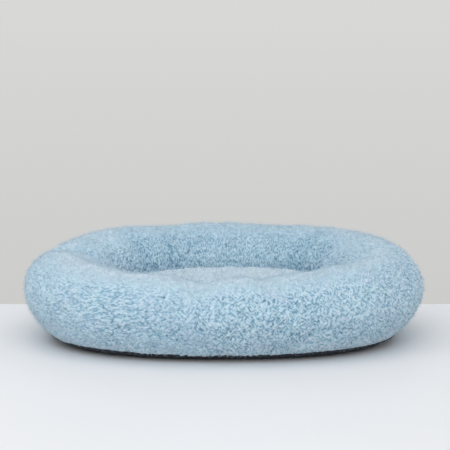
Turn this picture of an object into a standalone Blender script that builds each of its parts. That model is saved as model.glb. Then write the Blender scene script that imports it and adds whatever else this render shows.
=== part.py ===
"""Oval plush lounger for a small pet, in metres, +Z up.

A stuffed fleece rim stands round a sleeping well. Two fleece covers close over a ring of
fibre and are sewn to a dark base cloth outside and to a lining inside. A loose cushion with
a crowned fleece top drops into the well and lifts straight out.
The origin is on the floor under the middle of the bed, the long side runs along X, and the
low front of the rim faces -Y.
"""

import math

import bmesh
import bpy
from mathutils import Vector

# Overall size of the rim, over its pile
bed_length = 0.530
bed_depth = 0.430
outline_squareness = 2.3

# The rim's height and width at the front, the back and the two ends
front_rim_height = 0.1045
back_rim_height = 0.1285
end_rim_height = 0.1195
front_rim_width = 0.116
back_rim_width = 0.122
end_rim_width = 0.122
well_squareness = 2.8
well_side_shift = 0.0045

# The rim's section: where it is widest, how round each quarter is and where its crest lies
side_bulge_height = 0.056
end_bulge_height = 0.064
crest_width_share = 0.485
outer_shoulder_roundness = 2.1
inner_shoulder_roundness = 2.3
outer_underside_roundness = 1.6
inner_wall_roundness = 4.0

# Puckers where the inner wall is gathered round the corners of the well. Each has its place
# and its half width as shares of a full turn from +X, and its share of the fold's depth.
fold_depth = 0.009
inner_fold_shares = (
    (0.075, 0.014, 0.65),
    (0.107, 0.013, 1.0),
    (0.345, 0.012, 0.6),
    (0.387, 0.015, 1.0),
    (0.625, 0.014, 0.6),
    (0.880, 0.014, 0.6),
)

# Dips along the crest, where the fibre inside has moved apart, the deepest by the cross seam
# at the left end. A share below zero is a hump.
crest_dip_depth = 0.009
crest_dip_shares = (
    (0.190, 0.035, 0.25),
    (0.325, 0.030, 0.3),
    (0.430, 0.030, 0.3),
    (0.480, 0.014, 1.2),
    (0.620, 0.020, 0.15),
    (0.722, 0.022, 1.0),
    (0.806, 0.016, 0.5),
    (0.890, 0.020, -0.3),
)

# Cloths and layers
fleece_thickness = 0.006
base_cloth_thickness = 0.0012
wadding_thickness = 0.0055
lining_thickness = 0.001
base_seam_height = 0.009
seat_gap = 0.0003
filling_gap = 0.0008

# Loose cushion
cushion_clearance = 0.003
cushion_crown_height = 0.0868
cushion_seam_height = 0.036
cushion_backing_thickness = 0.0012
cushion_top_roundness = 4.5
cushion_bottom_roundness = 4.5
cushion_edge_roundness = 2.2

# The hollow pressed into the cushion's left half and the swelling at its right end. Each has
# its place and radius as shares of the well's half sizes, and its share of the depth.
cushion_dent_depth = 0.006
cushion_dent_shares = (
    (-0.42, 0, 0.34, 1.0),
    (0.80, 0.05, 0.24, -1.2),
)

# How finely the round forms are divided
ring_steps = 72
quarter_steps = 4
margin_steps = 3
cushion_steps = 48
crown_rings = 7
underside_rings = 3
nudge = math.radians(0.5)
full_turn = 2 * math.pi
quarter_turn = math.pi / 2

# Heights that follow from the layers
wadding_floor = base_cloth_thickness + seat_gap
lining_floor = wadding_floor + wadding_thickness + seat_gap
floor_height = lining_floor + lining_thickness
cushion_floor = floor_height + seat_gap

# The well's own half sizes and middle follow from the bed's and the rim's
well_half_length = bed_length / 2 - end_rim_width
well_half_depth = (bed_depth - front_rim_width - back_rim_width) / 2
well_middle = Vector((-well_side_shift, (front_rim_width - back_rim_width) / 2, 0))


def clear_scene():
    for item in list(bpy.data.objects):
        bpy.data.objects.remove(item, do_unlink=True)


def cloth_material(name, colour, roughness):
    material = bpy.data.materials.new(name)
    material.use_nodes = True
    shader = material.node_tree.nodes["Principled BSDF"]
    shader.inputs["Base Color"].default_value = (*colour, 1)
    shader.inputs["Roughness"].default_value = roughness
    shader.inputs["Metallic"].default_value = 0
    return material


def oval_point(half_length, half_depth, squareness, angle):
    """A point of a rounded oval, at that angle from +X about its middle."""
    across = abs(math.cos(angle) / half_length) ** squareness
    along = abs(math.sin(angle) / half_depth) ** squareness
    radius = (across + along) ** (-1 / squareness)
    return Vector((radius * math.cos(angle), radius * math.sin(angle), 0))


def bump_share(angle, shares):
    """The sum at that angle of soft bumps, each (place, half width, share) by turns."""
    total = 0
    for place, half_width, share in shares:
        away = (angle / full_turn - place + 0.5) % 1 - 0.5
        total += share * math.exp(-((away / half_width) ** 2))
    return total


def rim_height(angle):
    """The crest's height: low in front, high behind, with shallow dips."""
    mean = (back_rim_height + front_rim_height) / 2
    tilt = (back_rim_height - front_rim_height) / 2 * math.sin(angle)
    ends = (end_rim_height - mean) * math.cos(angle) ** 2
    return mean + tilt + ends - crest_dip_depth * bump_share(angle, crest_dip_shares)


def bulge_height(angle):
    """The height at which the rim is widest."""
    share = math.cos(angle) ** 2
    return side_bulge_height + (end_bulge_height - side_bulge_height) * share


def signed_power(value, power):
    return math.copysign(abs(value) ** power, value)


def rim_point(angle, turn):
    """A point of the rim's outer surface.

    turn goes round the section: -90 degrees is the underside, 0 the outer bulge,
    90 the crest, 180 the neck of the well and 270 the underside again."""
    across, up = math.cos(turn), math.sin(turn)
    if up >= 0:
        roundness = outer_shoulder_roundness if across > 0 else inner_shoulder_roundness
    else:
        roundness = outer_underside_roundness if across > 0 else inner_wall_roundness
    across = signed_power(across, 2 / roundness)
    up = signed_power(up, 2 / roundness)
    side = crest_width_share if across > 0 else 1 - crest_width_share
    share = crest_width_share - side * across
    waist = bulge_height(angle)
    height = waist + up * ((rim_height(angle) - waist) if up > 0 else waist)
    outside = oval_point(bed_length / 2, bed_depth / 2, outline_squareness, angle)
    neck = well_middle + oval_point(well_half_length, well_half_depth, well_squareness, angle)
    inwards = neck - outside
    wall = max(0, -math.cos(turn)) * max(0, math.sin((turn + quarter_turn) / 2))
    dent = fold_depth * bump_share(angle, inner_fold_shares) * wall
    point = outside + inwards * share - inwards.normalized() * dent
    return point + Vector((0, 0, height))


def rim_normal(angle, turn):
    """The surface's direction out of the rim at that point."""
    along = rim_point(angle + nudge, turn) - rim_point(angle - nudge, turn)
    round_section = rim_point(angle, turn + nudge) - rim_point(angle, turn - nudge)
    return along.cross(round_section).normalized()


def rim_skin(angles, turns, depth):
    """Rows of points at that depth under the rim's surface, one row to each angle."""
    return [
        [rim_point(a, t) - rim_normal(a, t) * depth for t in turns]
        for a in angles
    ]


def turn_at_height(angle, height, roundness):
    """How far below the bulge, as a turn, the section's underside reaches that height."""
    drop = 1 - height / bulge_height(angle)
    return math.asin(drop ** (roundness / 2))


def outer_seam_turn(angle):
    return -turn_at_height(angle, base_seam_height, outer_underside_roundness)


def inner_seam_turn(angle):
    return math.pi + turn_at_height(angle, floor_height + seat_gap, inner_wall_roundness)


def steps_between(first, last, count):
    return [first + (last - first) * i / count for i in range(count + 1)]


def ring_angles(first, last, count):
    return steps_between(first * full_turn, last * full_turn, count)


def section_rows(angles, depth):
    """rim_skin from the outer seam over the crest to the inner seam, a quarter at a time."""
    rows = []
    for angle in angles:
        marks = (outer_seam_turn(angle), 0, quarter_turn, 2 * quarter_turn, inner_seam_turn(angle))
        turns = [marks[0]]
        for first, last in zip(marks, marks[1:]):
            turns.extend(steps_between(first, last, quarter_steps)[1:])
        rows.extend(rim_skin([angle], turns, depth))
    return rows


def new_object(name, bm, material):
    """Closes off a bmesh as a smooth-shaded object with its faces pointing out."""
    bmesh.ops.recalc_face_normals(bm, faces=bm.faces)
    if bm.calc_volume(signed=True) < 0:
        bmesh.ops.reverse_faces(bm, faces=bm.faces)
    mesh = bpy.data.meshes.new(name)
    bm.to_mesh(mesh)
    bm.free()
    mesh.materials.append(material)
    mesh.shade_smooth()
    mesh.set_sharp_from_angle(angle=math.radians(50))
    item = bpy.data.objects.new(name, mesh)
    bpy.context.scene.collection.objects.link(item)
    return item


def add_rows(bm, rows):
    return [[bm.verts.new(point) for point in row] for row in rows]


def split_quad(bm, a, b, c, d):
    """Two triangles that meet along the quad's shorter diagonal.

    Skins that lie one inside the other are then folded the same way, and stay apart."""
    if (a.co - c.co).length <= (b.co - d.co).length:
        bm.faces.new((a, b, c))
        bm.faces.new((a, c, d))
    else:
        bm.faces.new((a, b, d))
        bm.faces.new((b, c, d))


def weave(bm, rows, wrap_rows, wrap_points):
    """Faces between neighbouring rows of vertices, closed round either way where asked."""
    row_count, point_count = len(rows), len(rows[0])
    for i in range(row_count if wrap_rows else row_count - 1):
        here, there = rows[i], rows[(i + 1) % row_count]
        for j in range(point_count if wrap_points else point_count - 1):
            k = (j + 1) % point_count
            split_quad(bm, here[j], there[j], there[k], here[k])


def ring_tube(name, rows, material):
    """A ring whose closed section is given at each angle."""
    bm = bmesh.new()
    weave(bm, add_rows(bm, rows), True, True)
    return new_object(name, bm, material)


def bent_shell(name, rows, material):
    """A length of tube with its closed section at each angle and a flat face at each end."""
    bm = bmesh.new()
    made = add_rows(bm, rows)
    weave(bm, made, False, True)
    half = len(made[0]) // 2
    for row in (made[0], made[-1]):
        for j in range(half - 1):
            bm.faces.new((row[j], row[j + 1], row[-2 - j], row[-1 - j]))
    return new_object(name, bm, material)


def close_end(bm, ring, pole):
    """Closes a ring of vertices with one flat face, or with a fan to a pole where it is domed."""
    if pole is None:
        bm.faces.new(ring)
        return
    middle = bm.verts.new(pole)
    for j, vertex in enumerate(ring):
        bm.faces.new((middle, vertex, ring[(j + 1) % len(ring)]))


def stacked_body(name, outlines, material, first_pole=None, last_pole=None):
    """A closed body through a stack of outlines, each end flat or domed up to its pole."""
    bm = bmesh.new()
    made = add_rows(bm, outlines)
    weave(bm, made, False, True)
    close_end(bm, made[0], first_pole)
    close_end(bm, made[-1], last_pole)
    return new_object(name, bm, material)


def rim_cover(name, first, last, seam_side, material):
    """Half of the fleece over the rim, open below, cut square at its two cross seams."""
    angles = ring_angles(first, last, ring_steps // 2)
    outside = section_rows(angles, 0)
    inside = section_rows(angles, fleece_thickness)
    sections = [outer + inner[::-1] for outer, inner in zip(outside, inside)]
    for section in (sections[0], sections[-1]):
        for point in section:
            point.y = seam_side * seat_gap / 2
    return bent_shell(name, sections, material)


def rim_filling(material):
    """The ring of loose fibre: it fills the covers and rests on the base cloth."""
    angles = ring_angles(0, 1, ring_steps)[:-1]
    rows = section_rows(angles, fleece_thickness + filling_gap)
    for angle, row in zip(angles, rows):
        inner_foot = row[-1].copy()
        inner_foot.z = wadding_floor
        keel = rim_point(angle, -quarter_turn)
        keel.z = wadding_floor
        row.extend((inner_foot, keel))
    return ring_tube("rim_filling", rows, material)


def base_cloth(material):
    """The dark cloth under the bed: flat, with a margin turned up to the outer seam."""
    angles = ring_angles(0, 1, ring_steps)[:-1]

    def margin(depth):
        columns = []
        for angle in angles:
            seam = outer_seam_turn(angle)
            turns = steps_between(-quarter_turn, seam, margin_steps)
            columns.extend(rim_skin([angle], turns, depth))
        for column in columns:
            column[0].z = depth
        return [list(ring) for ring in zip(*columns)]

    outside = margin(0)
    inside = margin(base_cloth_thickness)
    for ring in (outside[-1], inside[-1]):
        for point in ring:
            point.z -= seat_gap
    return stacked_body("base_cloth", outside + inside[::-1], material)


def floor_layer(name, bottom, thickness, material):
    """A flat sheet that fills the floor of the well out to the rim's inner seam."""
    angles = ring_angles(0, 1, ring_steps)[:-1]
    outline = []
    for angle in angles:
        outline.extend(rim_skin([angle], [inner_seam_turn(angle)], fleece_thickness)[0])
    low = [Vector((p.x, p.y, bottom)) for p in outline]
    high = [Vector((p.x, p.y, bottom + thickness)) for p in outline]
    return stacked_body(name, [low, high], material)


def cushion_dent(point):
    """How deep the crown is pressed in at that place."""
    depth = 0
    for x_share, y_share, radius_share, share in cushion_dent_shares:
        across = (point.x - well_middle.x) / well_half_length - x_share
        along = (point.y - well_middle.y) / well_half_depth - y_share
        away = math.hypot(across, along * well_half_depth / well_half_length)
        depth += share * math.exp(-((away / radius_share) ** 2))
    return depth * cushion_dent_depth


def cushion_outlines(rings, extreme, roundness, side_depth, skin_depth, dented):
    """Outlines of the cushion from its seam to near the middle of its top or underside.

    extreme is the height there. side_depth and skin_depth are how far the outlines lie
    within the cushion's surface, at its side and at that extreme."""
    direction = 1 if extreme > cushion_seam_height else -1
    rise_to = extreme - direction * skin_depth - cushion_seam_height
    outlines = []
    for i in range(rings + 1):
        reach = math.cos(i / (rings + 1) * quarter_turn)
        rise = (1 - reach ** roundness) ** (1 / cushion_edge_roundness)
        half_length = (well_half_length - cushion_clearance - side_depth) * reach
        half_depth = (well_half_depth - cushion_clearance - side_depth) * reach
        outline = []
        for j in range(cushion_steps):
            angle = full_turn * j / cushion_steps
            point = well_middle + oval_point(half_length, half_depth, well_squareness, angle)
            point.z = cushion_seam_height + rise_to * rise
            if dented:
                point.z -= cushion_dent(point) * rise
            outline.append(point)
        outlines.append(outline)
    return outlines


def cushion_pole(extreme, skin_depth, dented):
    """The middle of the cushion's top or underside, at that depth under the surface."""
    direction = 1 if extreme > cushion_seam_height else -1
    pole = well_middle + Vector((0, 0, extreme - direction * skin_depth))
    if dented:
        pole.z -= cushion_dent(pole)
    return pole


def cushion_cover(name, rings, extreme, roundness, thickness, dented, material):
    """One panel of the cushion's cover, from the seam all over its top or underside."""
    direction = 1 if extreme > cushion_seam_height else -1
    outside = cushion_outlines(rings, extreme, roundness, 0, 0, dented)
    inside = cushion_outlines(rings, extreme, roundness, thickness, thickness, dented)
    for point in outside[0] + inside[0]:
        point.z += direction * seat_gap / 2
    outer_pole = cushion_pole(extreme, 0, dented)
    inner_pole = cushion_pole(extreme, thickness, dented)
    return stacked_body(name, outside[::-1] + inside, material, outer_pole, inner_pole)


def cushion_filling(material):
    """The fibre inside the cushion's two panels."""
    top_depth = fleece_thickness + filling_gap
    foot_depth = cushion_backing_thickness + seat_gap
    over = cushion_outlines(
        crown_rings, cushion_crown_height, cushion_top_roundness, top_depth, top_depth, True
    )
    under = cushion_outlines(
        underside_rings, cushion_floor, cushion_bottom_roundness, top_depth, foot_depth, False
    )
    foot = cushion_pole(cushion_floor, foot_depth, False)
    top = cushion_pole(cushion_crown_height, top_depth, True)
    return stacked_body("cushion_filling", under[:0:-1] + over, material, foot, top)


def build():
    clear_scene()
    fleece = cloth_material("blue_fleece", (0.42, 0.59, 0.70), 0.95)
    dark_cloth = cloth_material("dark_base_cloth", (0.016, 0.020, 0.028), 0.8)
    lining = cloth_material("grey_lining", (0.30, 0.33, 0.36), 0.9)
    fibre = cloth_material("white_fibre", (0.82, 0.82, 0.80), 1.0)

    bed = [
        rim_cover("rim_cover_rear", 0, 0.5, 1, fleece),
        rim_cover("rim_cover_front", 0.5, 1, -1, fleece),
        rim_filling(fibre),
        base_cloth(dark_cloth),
        floor_layer("floor_wadding", wadding_floor, wadding_thickness, fibre),
        floor_layer("floor_lining", lining_floor, lining_thickness, lining),
    ]
    cushion = [
        cushion_cover(
            "cushion_top_cover", crown_rings, cushion_crown_height,
            cushion_top_roundness, fleece_thickness, True, fleece,
        ),
        cushion_cover(
            "cushion_bottom_cover", underside_rings, cushion_floor,
            cushion_bottom_roundness, cushion_backing_thickness, False, dark_cloth,
        ),
        cushion_filling(fibre),
    ]
    for name, pieces in (("bed", bed), ("cushion", cushion)):
        holder = bpy.data.objects.new(name, None)
        bpy.context.scene.collection.objects.link(holder)
        for piece in pieces:
            piece.parent = holder


build()
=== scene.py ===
"""Looks of the oval plush lounger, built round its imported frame. Metres, +Z up.

The pile of the fleece is real mesh: the stuffed shape is divided finely, raised into curls by
noise that is smeared along the lie of the pile, and sown with short fibres.
"""

import math

import bpy
import numpy as np
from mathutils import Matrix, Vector


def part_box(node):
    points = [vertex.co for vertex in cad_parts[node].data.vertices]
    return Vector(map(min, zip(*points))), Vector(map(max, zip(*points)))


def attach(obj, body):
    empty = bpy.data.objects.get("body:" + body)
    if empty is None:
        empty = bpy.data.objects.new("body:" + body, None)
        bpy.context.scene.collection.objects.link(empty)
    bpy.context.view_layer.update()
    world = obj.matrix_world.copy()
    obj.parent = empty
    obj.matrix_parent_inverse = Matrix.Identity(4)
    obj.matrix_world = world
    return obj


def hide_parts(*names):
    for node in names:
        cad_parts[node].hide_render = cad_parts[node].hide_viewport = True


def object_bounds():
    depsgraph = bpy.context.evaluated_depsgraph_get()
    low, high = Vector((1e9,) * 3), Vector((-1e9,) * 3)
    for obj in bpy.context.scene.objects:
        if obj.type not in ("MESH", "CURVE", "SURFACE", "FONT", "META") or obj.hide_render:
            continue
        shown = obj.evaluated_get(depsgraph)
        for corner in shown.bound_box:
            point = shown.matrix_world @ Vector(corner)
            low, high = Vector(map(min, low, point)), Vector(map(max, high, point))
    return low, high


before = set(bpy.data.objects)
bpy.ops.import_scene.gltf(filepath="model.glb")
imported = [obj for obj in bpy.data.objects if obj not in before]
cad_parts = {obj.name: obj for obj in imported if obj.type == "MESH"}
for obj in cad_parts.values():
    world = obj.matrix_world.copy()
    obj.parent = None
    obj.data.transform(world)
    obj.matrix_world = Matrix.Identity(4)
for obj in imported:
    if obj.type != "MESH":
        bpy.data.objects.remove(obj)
cad_low, cad_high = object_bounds()

# Sizes that come from the frame
bed_length = cad_high.x - cad_low.x
bed_depth = cad_high.y - cad_low.y
cushion_low, cushion_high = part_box("cushion_top_cover")
lining_low, lining_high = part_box("floor_lining")
wadding_low, wadding_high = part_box("floor_wadding")
base_low, base_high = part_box("base_cloth")
backing_low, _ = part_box("cushion_bottom_cover")
cushion_clearance = 0.003
well_half_length = (cushion_high.x - cushion_low.x) / 2 + cushion_clearance
well_half_depth = (cushion_high.y - cushion_low.y) / 2 + cushion_clearance
well_middle = np.array(list((cushion_high + cushion_low) / 2)) * (1, 1, 0)

# The rim's section, as the frame has it
front_rim_height = 0.1045
back_rim_height = 0.1285
end_rim_height = 0.1195
side_bulge_height = 0.056
end_bulge_height = 0.064
outline_squareness = 2.3
well_squareness = 2.8
crest_width_share = 0.485
outer_shoulder_roundness = 2.1
inner_shoulder_roundness = 2.3
outer_underside_roundness = 1.6
inner_wall_roundness = 4.0
fold_depth = 0.009
inner_fold_shares = (
    (0.075, 0.014, 0.65),
    (0.107, 0.013, 1.0),
    (0.345, 0.012, 0.6),
    (0.387, 0.015, 1.0),
    (0.625, 0.014, 0.6),
    (0.880, 0.014, 0.6),
)
crest_dip_depth = 0.009
crest_dip_shares = (
    (0.190, 0.035, 0.25),
    (0.325, 0.030, 0.3),
    (0.430, 0.030, 0.3),
    (0.480, 0.014, 1.2),
    (0.620, 0.020, 0.15),
    (0.722, 0.022, 1.0),
    (0.806, 0.016, 0.5),
    (0.890, 0.020, -0.3),
)
base_seam_height = 0.009
fleece_thickness = 0.006
filling_gap = 0.0008
base_cloth_thickness = 0.0012
seat_gap = 0.0003
backing_thickness = 0.001

# The cushion's form, as the frame has it
cushion_seam_height = 0.036
cushion_floor = backing_low.z
cushion_crown_height = 0.0868
cushion_top_roundness = 4.5
cushion_bottom_roundness = 4.5
cushion_edge_roundness = 2.2
cushion_dent_depth = 0.006
cushion_dent_shares = (
    (-0.42, 0, 0.34, 1.0),
    (0.80, 0.05, 0.24, -1.2),
)

# How finely things are divided, and what turns are
grid_step = 0.0009
rim_pieces = 14
full_turn = 2 * math.pi
quarter_turn = math.pi / 2
nudge = math.radians(0.5)
seed = 7


# Noise

def cell_hash(x, y, z, salt):
    """A well-mixed whole number for each cell of a lattice."""
    mask = 0xFFFFFFFF
    h = (x * 374761393 + y * 668265263 + z * 2147483647 + salt * 1274126177) & mask
    h = ((h ^ (h >> 13)) * 1274126177) & mask
    h = ((h ^ (h >> 16)) * 2246822519) & mask
    return h ^ (h >> 15)


def edge_directions():
    """The sixteen gradients of gradient noise: the twelve edges of a cube, four of them twice."""
    found = []
    for first, second in ((0, 1), (0, 2), (1, 2)):
        for a in (1, -1):
            for b in (1, -1):
                edge = [0, 0, 0]
                edge[first], edge[second] = a, b
                found.append(edge)
    return np.array(found + found[:4], float)


gradients = edge_directions()


def noise(points, scale, salt):
    """Smooth gradient noise, about -0.7 to 0.7, whose lumps are about scale across."""
    q = points / scale
    cell = np.floor(q).astype(np.int64)
    f = q - cell
    w = f * f * f * (f * (f * 6 - 15) + 10)
    total = np.zeros(len(points))
    for dx in (0, 1):
        for dy in (0, 1):
            for dz in (0, 1):
                h = cell_hash(cell[:, 0] + dx, cell[:, 1] + dy, cell[:, 2] + dz, salt) & 15
                g = gradients[h]
                slope = g[:, 0] * (f[:, 0] - dx) + g[:, 1] * (f[:, 1] - dy) + g[:, 2] * (f[:, 2] - dz)
                wx = w[:, 0] if dx else 1 - w[:, 0]
                wy = w[:, 1] if dy else 1 - w[:, 1]
                wz = w[:, 2] if dz else 1 - w[:, 2]
                total += slope * wx * wy * wz
    return total


def layered(points, layers, base=0):
    """Noise of several scales added to base: layers holds (scale, salt, strength)."""
    total = base
    for scale, salt, strength in layers:
        total = total + strength * noise(points, scale, salt)
    return total


def warped(points, scale, amount, salt):
    """The points moved about by noise, which breaks up a regular pattern."""
    moves = [noise(points, scale, salt + k) for k in range(3)]
    return points + amount * np.stack(moves, 1)


# The rim's shape, for arrays of angles and turns

def oval(half_length, half_depth, squareness, angle):
    """Points round an oval, which is an ellipse where the squareness is 2."""
    across = np.abs(np.cos(angle) / half_length) ** squareness
    along = np.abs(np.sin(angle) / half_depth) ** squareness
    radius = (across + along) ** (-1 / squareness)
    return np.stack([radius * np.cos(angle), radius * np.sin(angle), 0 * angle], -1)


def turns_away(angle, place):
    """How far an angle is from a place round the rim, both in turns, from -0.5 to 0.5."""
    return (angle / full_turn - place + 0.5) % 1 - 0.5


def bump_share(angle, shares):
    """Soft bumps round the rim added together: shares holds (place, half width, strength)."""
    total = np.zeros_like(angle)
    for place, half_width, share in shares:
        total += share * np.exp(-((turns_away(angle, place) / half_width) ** 2))
    return total


def rim_height(angle):
    mean = (back_rim_height + front_rim_height) / 2
    tilt = (back_rim_height - front_rim_height) / 2 * np.sin(angle)
    ends = (end_rim_height - mean) * np.cos(angle) ** 2
    return mean + tilt + ends - crest_dip_depth * bump_share(angle, crest_dip_shares)


def bulge_height(angle):
    return side_bulge_height + (end_bulge_height - side_bulge_height) * np.cos(angle) ** 2


def unit(vectors):
    return vectors / (np.linalg.norm(vectors, axis=-1, keepdims=True) + 1e-12)


def signed_power(value, power):
    return np.sign(value) * np.abs(value) ** power


def rim_surface(angle, turn):
    """Points of the rim's surface. A turn of 0 is the outer bulge, a quarter turn the crest."""
    across, up = np.cos(turn), np.sin(turn)
    upper = np.where(across > 0, outer_shoulder_roundness, inner_shoulder_roundness)
    lower = np.where(across > 0, outer_underside_roundness, inner_wall_roundness)
    roundness = np.where(up >= 0, upper, lower)
    across = signed_power(across, 2 / roundness)
    up = signed_power(up, 2 / roundness)
    side = np.where(across > 0, crest_width_share, 1 - crest_width_share)
    share = crest_width_share - side * across
    waist = bulge_height(angle)
    height = waist + up * np.where(up > 0, rim_height(angle) - waist, waist)
    outside = oval(bed_length / 2, bed_depth / 2, outline_squareness, angle)
    neck = well_middle + oval(well_half_length, well_half_depth, well_squareness, angle)
    inwards = neck - outside
    wall = np.maximum(0, -np.cos(turn)) * np.maximum(0, np.sin((turn + quarter_turn) / 2))
    dent = fold_depth * bump_share(angle, inner_fold_shares) * wall
    reach = np.linalg.norm(inwards, axis=-1)
    points = outside + inwards * (share - dent / reach)[..., None]
    points[..., 2] += height
    return points


def rim_skin(angle, turn, depth):
    """(points at that depth under the rim's surface, the directions out of it)."""
    along = rim_surface(angle + nudge, turn) - rim_surface(angle - nudge, turn)
    across = rim_surface(angle, turn + nudge) - rim_surface(angle, turn - nudge)
    out = unit(np.cross(along, across))
    return rim_surface(angle, turn) - out * depth[..., None], out


def seam_turn(angle, height, roundness):
    """How far below the bulge, as a turn, the underside reaches that height."""
    return np.arcsin((1 - height / bulge_height(angle)) ** (roundness / 2))


def outer_seam_turn(angle):
    return -seam_turn(angle, base_seam_height, outer_underside_roundness)


def inner_seam_turn(angle):
    height = lining_high.z + seat_gap
    return math.pi + seam_turn(angle, height, inner_wall_roundness)


# Grids and meshes

def grid_quads(columns, rows, wrap_columns=False, wrap_rows=False):
    """The quads of a grid whose vertices are numbered column by column."""
    i = np.arange(columns if wrap_columns else columns - 1)[:, None]
    j = np.arange(rows if wrap_rows else rows - 1)[None, :]
    ni, nj = (i + 1) % columns, (j + 1) % rows
    quads = np.stack([i * rows + j, ni * rows + j, ni * rows + nj, i * rows + nj], -1)
    return quads.reshape(-1, 4)


def strip_quads(ring, next_ring):
    """The quads between two closed rings of vertices, given by their numbers."""
    return np.stack([ring, np.roll(ring, -1), np.roll(next_ring, -1), next_ring], -1)


def border_of(columns, rows):
    """The numbers of the vertices round a grid's border, in order."""
    index = np.arange(columns * rows).reshape(columns, rows)
    sides = [index[:-1, 0], index[-1, :-1], index[:0:-1, -1], index[0, :0:-1]]
    return np.concatenate(sides)


def enclosed(points, quads):
    """The volume inside the quads, below zero where they face inwards."""
    a, b, c, d = (points[quads[:, k]] for k in range(4))
    first = np.einsum("ij,ij->i", a, np.cross(b, c))
    second = np.einsum("ij,ij->i", a, np.cross(c, d))
    return (first.sum() + second.sum()) / 6


def new_mesh(name, points, quads, material, smooth=True):
    mesh = bpy.data.meshes.new(name)
    mesh.vertices.add(len(points))
    mesh.vertices.foreach_set("co", np.asarray(points, np.float32).ravel())
    mesh.loops.add(quads.size)
    mesh.loops.foreach_set("vertex_index", quads.ravel().astype(np.int32))
    mesh.polygons.add(len(quads))
    mesh.polygons.foreach_set("loop_start", np.arange(0, quads.size, 4, dtype=np.int32))
    mesh.polygons.foreach_set("loop_total", np.full(len(quads), 4, np.int32))
    mesh.polygons.foreach_set("use_smooth", np.full(len(quads), smooth))
    mesh.update()
    mesh.materials.append(material)
    item = bpy.data.objects.new(name, mesh)
    bpy.context.scene.collection.objects.link(item)
    return item


def new_body(name, points, quads, material):
    """An object closed all round, with its faces turned outwards."""
    if enclosed(points, quads) < 0:
        quads = quads[:, ::-1]
    return new_mesh(name, points, quads, material)


def skin_of(grid, rings=()):
    """A grid with rings of points added round its border: (points, quads, last ring)."""
    columns, rows = grid.shape[:2]
    points, quads = [grid.reshape(-1, 3)], [grid_quads(columns, rows)]
    last = border_of(columns, rows)
    count = columns * rows
    for ring in rings:
        numbers = np.arange(len(ring)) + count
        quads.append(strip_quads(last, numbers))
        points.append(ring)
        last = numbers
        count += len(ring)
    return np.concatenate(points), np.concatenate(quads), last


def two_sided(name, one, other, material):
    """A closed body from two skins that are joined along their last rings."""
    points, quads, last = one
    more_points, more_quads, more_last = other
    count = len(points)
    edge = strip_quads(last, more_last + count)
    everything = np.concatenate([quads, more_quads[:, ::-1] + count, edge])
    return new_body(name, np.concatenate([points, more_points]), everything, material)


def round_grid(columns, rows):
    """A square grid pressed onto a disc: (angle, share of the way to the edge)."""
    u, v = np.meshgrid(np.linspace(-1, 1, columns), np.linspace(-1, 1, rows), indexing="ij")
    across = u * np.sqrt(1 - v * v / 2)
    along = v * np.sqrt(1 - u * u / 2)
    return np.arctan2(along, across), np.clip(np.hypot(across, along), 0, 1)


def ring_of(grid):
    """What a grid holds round its border, in order."""
    columns, rows = grid.shape[:2]
    return grid.reshape(columns * rows, *grid.shape[2:])[border_of(columns, rows)]


def steep(value, first, last):
    """0 up to first and 1 from last on, with a smooth rise between them."""
    share = np.clip((value - first) / (last - first), 0, 1)
    return share * share * (3 - 2 * share)


def belongs(piece, body, slot, *nodes):
    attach(piece, body)
    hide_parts(*nodes)
    return piece


# The pile

pile_sink = 0.0025
hem_depth = 0.0036
stream_heading = 0.2
stream_layers = ((0.030, 61, 1.8), (0.009, 62, 1.3))
swirl_layers = ((0.022, 63, 8), (0.007, 64, 3.5))
strand_step = 0.0026
strand_reach = 0.0066
strand_samples = 5
strand_spread = 0.14
strand_height = 0.0008
bend_size = 0.006
straight_bend = 120
curly_bend = 380
clump_size = 0.0075
clump_gain = 2.2
clump_middle = 0.7
clump_height = 0.0011
clump_warp = (0.010, 0.006, 11)
parting_size = 0.015
parting_width = 0.07
parting_depth = 0.0014
parting_warp = (0.008, 0.008, 81)
parting_patch_size = 0.026
parting_patch_span = (-0.15, 0.25)
swell_size = 0.020
swell_height = 0.00126
# Painted light of the pile: its mean level, painted light on strands and clumps, painted shade in
# partings
mean_light = 0.82
strand_light = 0.03
clump_light = 0.08
parting_shade = 0.20
fibres_per_square_metre = 340_000
calm_sowing = 1.6
sowing_fall = 1.2
least_sowing = 0.22
fibre_length = 0.0026
fibre_length_shares = (0.6, 1.3)
calm_fibre_share = 2.3
fibre_rise = 0.95
fibre_rise_fall = 0.3
fibre_droop_past_level = 0.15
fibre_heading_spread = 0.35
fibre_lean_spread = 0.25
fibre_veer = 1.1
fibre_width = 0.00028
fibre_taper_shares = (1, 0.85, 0.15)
fibre_tip_lights = (0.9, 1.2)
fibre_light_spread = 0.05
stray_share = 0.45
stray_length = 0.0060
stray_length_shares = (0.5, 1.2)
stray_rise = 1.3
stray_droop_share = 0.3
stray_width_share = 0.7
fibre_steps = 2
fibre_sides = 3
fibre_points = (fibre_steps + 1) * fibre_sides
map_share = 0.75
map_margin_share = 0.15


def lie_of_pile(points, normals, along, curl):
    """The way the pile lies: near along where curl is 0, every way where it is 1."""
    stream = layered(points, stream_layers, stream_heading)
    swirl = layered(points, swirl_layers)
    heading = (stream * (1 - curl) + swirl * curl)[:, None]
    beside = np.cross(normals, along)
    lie = along * np.cos(heading) + beside * np.sin(heading)
    return lie, np.cross(normals, lie)


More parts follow.
